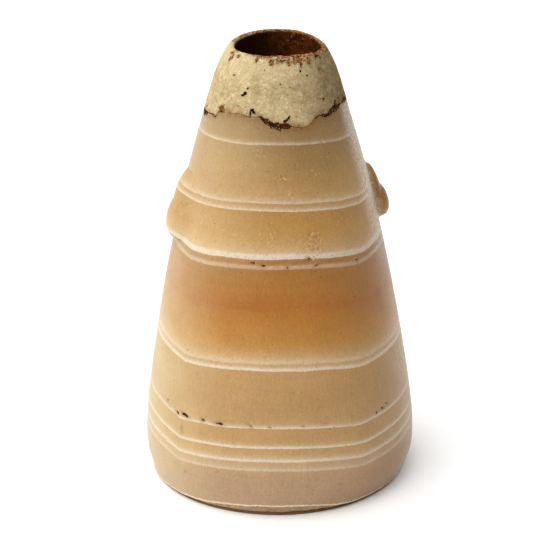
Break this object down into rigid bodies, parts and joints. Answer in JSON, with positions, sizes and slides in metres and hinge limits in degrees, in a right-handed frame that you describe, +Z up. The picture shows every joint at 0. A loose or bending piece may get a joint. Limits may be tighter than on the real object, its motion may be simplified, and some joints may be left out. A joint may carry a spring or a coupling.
{
  "type": "kohl pot",
  "caption": "Conical kohl pot of banded alabaster on a rounded-in foot, with small lobed side lugs, a narrow drilled well and a cream plaster rim set on the broken neck.",
  "frame": {"origin": "centre of the flat underside", "axes": "+Z up along the axis of the pot, -Y towards the viewer of the picture, +X to the viewer's right"},
  "size_m": [0.0546, 0.0546, 0.0896],
  "materials": {
    "alabaster": "satin",
    "plaster": "matte"
  },
  "bodies": {
    "root": {"stone_body": "alabaster", "plaster_rim": "plaster"}
  },
  "joints": []
}
